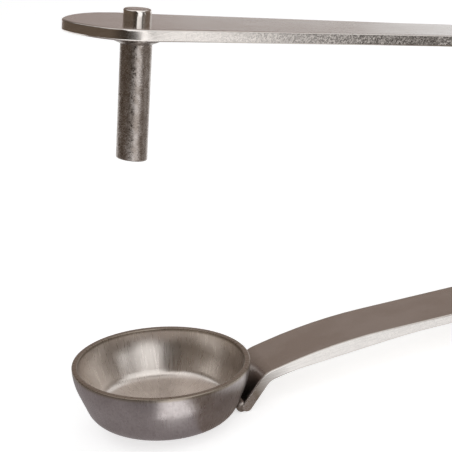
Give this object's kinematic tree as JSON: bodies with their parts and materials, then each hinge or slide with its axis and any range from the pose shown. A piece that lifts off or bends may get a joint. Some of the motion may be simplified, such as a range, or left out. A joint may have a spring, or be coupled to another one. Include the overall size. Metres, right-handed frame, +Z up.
{
  "type": "olive pitter",
  "caption": "Sprung tong-type olive pitter: an upper steel lever drives a round punch through the olive in a small bowl whose bottom hole lets the stone drop out.",
  "frame": {"origin": "middle of the tool's box on the table it stands on: the bowl end and the tail both touch z = 0", "axes": "+X runs from the punch and bowl back to the hinge, +Y is across the tool along the hinge pin, +Z is up with the upper lever above the lower"},
  "size_m": [0.2216, 0.0362, 0.0846],
  "materials": {
    "strap_steel": "fine satin stainless strap",
    "bowl_steel": "spun stainless, satin brushed",
    "weld_steel": "brushed weld metal",
    "punch_steel": "turned stainless rod, bead blasted",
    "rivet_steel": "polished rivet heads",
    "turned_steel": "turned stainless",
    "washer_nylon": "natural nylon",
    "spring_wire": "drawn spring wire"
  },
  "bodies": {
    "lower": {"lower_lever": "strap_steel", "bowl": "bowl_steel", "bowl_weld": "weld_steel", "spacer_sleeve": "turned_steel", "lug_washers": "washer_nylon", "torsion_spring": "spring_wire"},
    "upper": {"upper_lever": "strap_steel", "punch": "punch_steel", "punch_collar": "punch_steel", "hinge_pin": "rivet_steel", "head_washers": "turned_steel"}
  },
  "joints": [
    {"name": "lever_hinge", "type": "hinge", "parent": "lower", "child": "upper", "pos_m": [0.0925, 0, 0.01002], "axis": [0, -1, 0], "range_deg": [0, 19.1], "stiffness_Nm_per_rad": 1.5, "springref_deg": -17.19, "deforming": ["torsion_spring"]}
  ]
}
